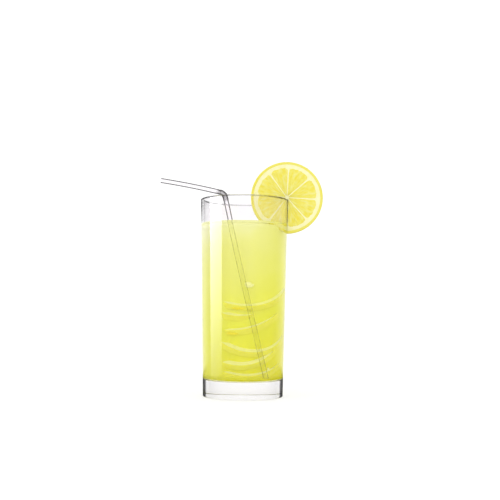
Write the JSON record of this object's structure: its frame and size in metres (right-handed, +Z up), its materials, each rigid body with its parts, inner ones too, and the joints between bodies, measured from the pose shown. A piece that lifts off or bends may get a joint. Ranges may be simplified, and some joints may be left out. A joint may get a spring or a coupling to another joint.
{
  "type": "glass of lemonade",
  "caption": "Tall tapered drinking glass of pale yellow lemonade, with a slit slice of lemon on its rim and a clear bendy straw.",
  "frame": {"origin": "middle of the glass's flat underside", "axes": "+Z up along the glass, +X towards the side of the rim that holds the slice, -Y towards the side that the straw leans on"},
  "size_m": [0.1204, 0.066, 0.1765],
  "materials": {
    "clear_glass": "clear, smooth and polished",
    "lemonade": "cloudy pale yellow drink",
    "clear_straw": "thin clear plastic",
    "lemon": "moist cut fruit with a waxy yellow peel"
  },
  "bodies": {
    "root": {"glass": "clear_glass", "lemonade": "lemonade", "straw": "clear_straw", "lemon_slice": "lemon"}
  },
  "joints": []
}
